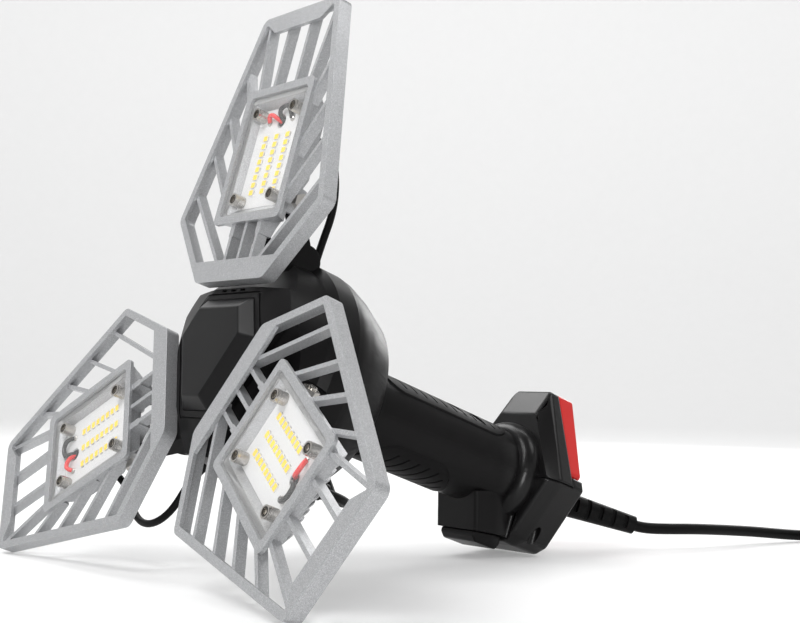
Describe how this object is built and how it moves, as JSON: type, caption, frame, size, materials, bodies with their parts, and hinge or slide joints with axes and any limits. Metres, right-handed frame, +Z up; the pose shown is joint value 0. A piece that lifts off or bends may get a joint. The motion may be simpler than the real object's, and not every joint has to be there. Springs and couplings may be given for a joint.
{
  "type": "three-head led work light",
  "caption": "Corded hand-held work light: finned and slatted LED heads hinge on fork arms round a hub with a push button, above a gripped handle and a flared foot.",
  "frame": {"origin": "bottom centre of the light's bounding box without its cord, on the floor that it stands on", "axes": "+Z up; the heads face -Y, the handle slopes down towards +Y at 19.08 degrees, and +X is to the right seen from the front"},
  "size_m": [0.3284, 0.4961, 0.2722],
  "materials": {
    "silver_casting": "satin silver paint with a fine metallic sparkle on cast metal",
    "clear_lens": "clear polished cover",
    "white_board": "white solder mask",
    "led_phosphor": "yellow phosphor, unlit",
    "bright_steel": "nickel plated",
    "plug_metal": "plated contact metal",
    "black_plastic": "fine-textured black moulding",
    "button_plastic": "fine-textured black moulding",
    "soft_rubber": "matte black soft moulding",
    "red_plastic": "semi-gloss red moulding",
    "green_board": "printed circuit board with parts",
    "wire_insulation": "one red and one black lead",
    "cable_jacket": "black flexible jacket"
  },
  "bodies": {
    "hub_and_handle": {"hub_front_shell": "black_plastic", "hub_rear_shell": "black_plastic", "hub_screws": "bright_steel", "driver_board": "green_board", "button_spring": "bright_steel", "handle_upper_shell": "black_plastic", "handle_lower_shell": "black_plastic", "grip_upper": "soft_rubber", "grip_lower": "soft_rubber", "handle_screws": "bright_steel", "red_pad": "red_plastic", "underside_plate": "black_plastic", "power_supply_board": "green_board", "strain_relief": "cable_jacket", "power_cord": "cable_jacket", "cord_coil": "cable_jacket", "plug_body": "cable_jacket", "plug_pins": "plug_metal", "arm_1": "black_plastic", "arm_2": "black_plastic", "arm_3": "black_plastic", "arm_screws": "bright_steel", "head_1_cable": "cable_jacket", "head_2_cable": "cable_jacket", "head_3_cable": "cable_jacket"},
    "button": {"power_button": "button_plastic"},
    "head_1": {"head_1_casting": "silver_casting", "head_1_lens": "clear_lens", "head_1_gasket": "soft_rubber", "head_1_led_board": "white_board", "head_1_led_chips": "led_phosphor", "head_1_board_screws": "bright_steel", "head_1_board_wires": "wire_insulation", "head_1_hinge_bolt": "bright_steel", "head_1_hinge_nut": "bright_steel", "head_1_cable_gland": "black_plastic"},
    "head_2": {"head_2_casting": "silver_casting", "head_2_lens": "clear_lens", "head_2_gasket": "soft_rubber", "head_2_led_board": "white_board", "head_2_led_chips": "led_phosphor", "head_2_board_screws": "bright_steel", "head_2_board_wires": "wire_insulation", "head_2_hinge_bolt": "bright_steel", "head_2_hinge_nut": "bright_steel", "head_2_cable_gland": "black_plastic"},
    "head_3": {"head_3_casting": "silver_casting", "head_3_lens": "clear_lens", "head_3_gasket": "soft_rubber", "head_3_led_board": "white_board", "head_3_led_chips": "led_phosphor", "head_3_board_screws": "bright_steel", "head_3_board_wires": "wire_insulation", "head_3_hinge_bolt": "bright_steel", "head_3_hinge_nut": "bright_steel", "head_3_cable_gland": "black_plastic"}
  },
  "joints": [
    {"name": "button_press", "type": "slide", "parent": "hub_and_handle", "child": "button", "axis": [0, 0.9451, -0.3269], "range_m": [0, 0.0015], "stiffness_N_per_m": 800, "springref_m": -0.002, "deforming": ["button_spring"]},
    {"name": "head_1_tilt", "type": "hinge", "parent": "hub_and_handle", "child": "head_1", "pos_m": [0, -0.07382, 0.17466], "axis": [-1, 0, 0], "range_deg": [-5, 90], "deforming": ["head_1_cable"]},
    {"name": "head_2_tilt", "type": "hinge", "parent": "hub_and_handle", "child": "head_2", "pos_m": [-0.06537, -0.11083, 0.06765], "axis": [0.5, -0.2831, -0.8184], "range_deg": [-5, 90], "deforming": ["head_2_cable"]},
    {"name": "head_3_tilt", "type": "hinge", "parent": "hub_and_handle", "child": "head_3", "pos_m": [0.06537, -0.11083, 0.06765], "axis": [0.5, 0.2831, 0.8184], "range_deg": [-5, 90], "deforming": ["head_3_cable"]}
  ]
}
